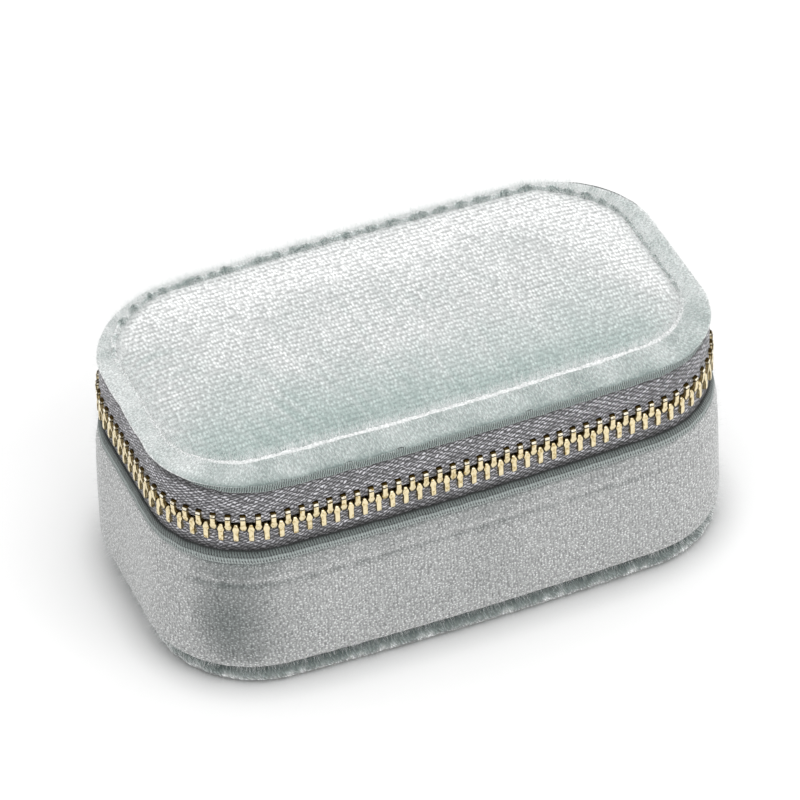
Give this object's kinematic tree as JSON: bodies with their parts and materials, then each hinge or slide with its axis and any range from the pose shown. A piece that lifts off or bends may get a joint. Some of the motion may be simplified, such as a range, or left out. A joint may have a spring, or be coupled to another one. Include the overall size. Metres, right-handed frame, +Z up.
{
  "type": "travel jewelry case",
  "caption": "Small rounded velvet jewelry case with a padded lid on a fabric hinge, a metal zip round the sides, ring rolls and divided compartments inside.",
  "frame": {"origin": "centre of the footprint, on the plane the case rests on", "axes": "+X along the length, -Y is the front with the zip, +Y the back with the fabric hinge, +Z up"},
  "size_m": [0.111, 0.0678, 0.0494],
  "materials": {
    "velvet": "short crushed-pile velvet with a silvery sheen, pale sage grey",
    "velvet_top": "the same velvet, brighter where the pile faces up, with fine ribs along the length",
    "lining": "soft matt suede-like lining in the same colour",
    "zip_tape": "grey herringbone woven tape",
    "gold_metal": "polished light gold plating",
    "greyboard": "pressed grey board, hidden under the fabric",
    "foam": "open-cell foam",
    "mirror_glass": "silvered glass"
  },
  "bodies": {
    "base": {"base_bottom_cover": "velvet", "base_bottom_board": "greyboard", "base_bottom_welt": "velvet", "base_wall_cover": "velvet", "base_wall_board": "greyboard", "base_wall_lining": "lining", "base_floor_lining": "lining", "ring_roll_bed": "foam", "ring_roll_1": "lining", "ring_roll_2": "lining", "ring_roll_3": "lining", "ring_roll_4": "lining", "center_divider": "lining", "compartment_divider": "lining", "base_zip_tape": "zip_tape", "base_zip_teeth": "gold_metal", "base_top_stop": "gold_metal", "bottom_stop": "gold_metal", "hinge_strip_lower": "velvet"},
    "lid": {"lid_board": "greyboard", "lid_rim_cover": "velvet", "lid_crest_welt": "velvet_top", "lid_top_cover": "velvet_top", "lid_foam_pad": "foam", "lid_lining_panel": "lining", "lid_lining_band": "lining", "mirror_surround": "lining", "mirror_glass": "mirror_glass", "lid_zip_tape": "zip_tape", "lid_zip_teeth": "gold_metal", "lid_top_stop": "gold_metal", "hinge_strip_upper": "velvet"},
    "slider": {"slider_body": "gold_metal", "slider_back_plate": "gold_metal"},
    "pull_link": {"pull_link": "gold_metal"},
    "pull_tab": {"pull_tab": "gold_metal"}
  },
  "joints": [
    {"name": "lid_hinge", "type": "hinge", "parent": "base", "child": "lid", "pos_m": [0, 0.0317, 0.0366], "axis": [-1, 0, 0], "range_deg": [0, 105]},
    {"name": "slider_travel", "type": "hinge", "parent": "base", "child": "slider", "pos_m": [0.035, 0.0106, 0.0366], "axis": [0, 0, -1], "range_deg": [0, 84]},
    {"name": "pull_link_swing", "type": "hinge", "parent": "slider", "child": "pull_link", "pos_m": [0.03622, 0.03392, 0.0366], "axis": [0.9986, -0.0523, 0], "range_deg": [0, 40]},
    {"name": "pull_tab_swing", "type": "hinge", "parent": "pull_link", "child": "pull_tab", "pos_m": [0.03622, 0.03392, 0.0304], "axis": [0.9986, -0.0523, 0], "range_deg": [0, 40]}
  ]
}
